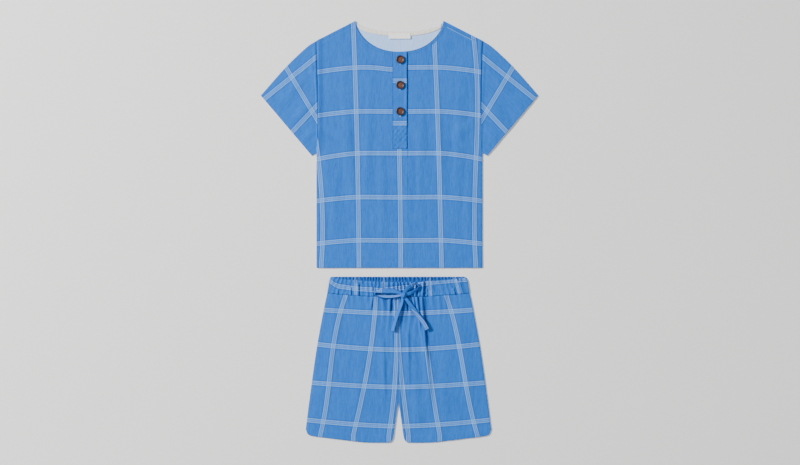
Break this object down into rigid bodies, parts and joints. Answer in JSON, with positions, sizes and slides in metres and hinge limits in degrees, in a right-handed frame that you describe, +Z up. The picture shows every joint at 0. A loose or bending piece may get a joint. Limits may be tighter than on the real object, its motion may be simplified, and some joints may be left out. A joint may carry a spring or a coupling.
{
  "type": "jinbei-style top and shorts set",
  "caption": "Child's loose cotton set laid flat: short-sleeved half-placket top above elastic-waist shorts with a tied drawstring.",
  "frame": {"origin": "middle of the laid-out set, on the plane that it lies on", "axes": "+Y towards the neck, +Z up out of the fronts, +X to the right as seen from above"},
  "size_m": [0.5062, 0.7716, 0.0123],
  "materials": {
    "check_cotton": "crinkled blue double gauze with a pale windowpane check",
    "drawstring_cotton": "the same cotton, turned into a soft narrow tie",
    "ecru_tape": "unbleached woven cotton tape",
    "label_satin": "plain off-white satin, blank",
    "button_coconut": "turned brown coconut shell, satin"
  },
  "bodies": {
    "root": {"top_back": "check_cotton", "top_front": "check_cotton", "sleeve_left": "check_cotton", "sleeve_right": "check_cotton", "placket_under": "check_cotton", "placket_over": "check_cotton", "neck_tape": "ecru_tape", "neck_label": "label_satin", "button_1": "button_coconut", "button_2": "button_coconut", "button_3": "button_coconut", "shorts_back_left": "check_cotton", "shorts_back_right": "check_cotton", "shorts_front_left": "check_cotton", "shorts_front_right": "check_cotton", "waistband_back": "check_cotton", "waistband_front": "check_cotton", "tie_knot": "drawstring_cotton", "tie_loop_left": "drawstring_cotton", "tie_loop_right": "drawstring_cotton", "tie_tail_left": "drawstring_cotton", "tie_tail_right": "drawstring_cotton"}
  },
  "joints": []
}
